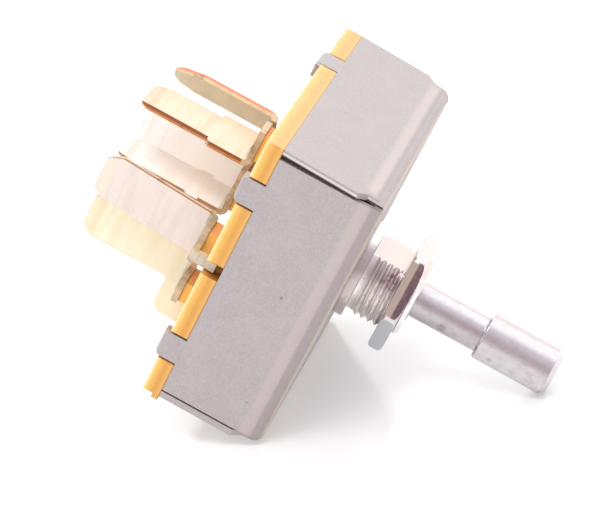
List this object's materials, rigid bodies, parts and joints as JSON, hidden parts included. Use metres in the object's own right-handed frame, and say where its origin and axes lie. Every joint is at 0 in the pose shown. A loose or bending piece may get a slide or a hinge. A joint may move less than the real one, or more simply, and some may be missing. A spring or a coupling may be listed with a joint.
{
  "type": "rotary fan switch",
  "caption": "Panel-mount rotary switch: square folded metal case, moulded base, threaded bushing with hex nut, stepped round shaft and flat blade terminals at the back.",
  "frame": {"origin": "on the shaft's axis, in the outer face of the case's front panel", "axes": "+Z along the shaft towards its knob end; -X towards the flared wall of the case; -Y towards the wall with the earth lug's notch; X and Y square to the case's walls"},
  "size_m": [0.039, 0.0382, 0.0614],
  "materials": {
    "zinc_steel": "zinc-plated sheet, satin, fine speckle",
    "phenolic": "moulded amber plastic, satin",
    "plated_steel": "bright plated, turned",
    "plated_nut": "bright plated, pressed",
    "shaft_steel": "bright plated, turned",
    "washer_brass": "plain stamped",
    "spring_steel": "spring-tempered strip",
    "carrier_plastic": "moulded dark plastic, matte",
    "ring_steel": "stamped steel",
    "wire_steel": "drawn spring wire",
    "copper": "stamped copper, satin",
    "silver": "silver contact metal, satin",
    "terminal_brass": "tin-washed stamped brass, satin",
    "rivet_copper": "copper alloy rivets, slightly tarnished"
  },
  "bodies": {
    "body": {"case": "zinc_steel", "base": "phenolic", "bushing": "plated_steel", "index_spring": "spring_steel", "fixed_contacts": "silver", "terminal_far": "terminal_brass", "terminal_upper": "terminal_brass", "terminal_back": "terminal_brass", "terminal_middle": "terminal_brass", "terminal_near": "terminal_brass", "terminal_lower": "terminal_brass", "terminal_rivets": "rivet_copper"},
    "rotor": {"shaft": "shaft_steel", "thrust_washer": "washer_brass", "carrier": "carrier_plastic", "retaining_ring": "ring_steel", "contact_spring": "wire_steel", "contact_plate": "copper", "contact_tips": "silver"},
    "nut": {"mounting_nut": "plated_nut"}
  },
  "joints": [
    {"name": "shaft_turn", "type": "hinge", "parent": "body", "child": "rotor", "pos_m": [0, 0, 0], "axis": [0, 0, -1], "range_deg": [0, 120], "deforming": ["index_spring"]},
    {"name": "nut_turn", "type": "hinge", "parent": "body", "child": "nut", "pos_m": [0, 0, 0.00675], "axis": [0, 0, 1], "continuous": true}
  ]
}
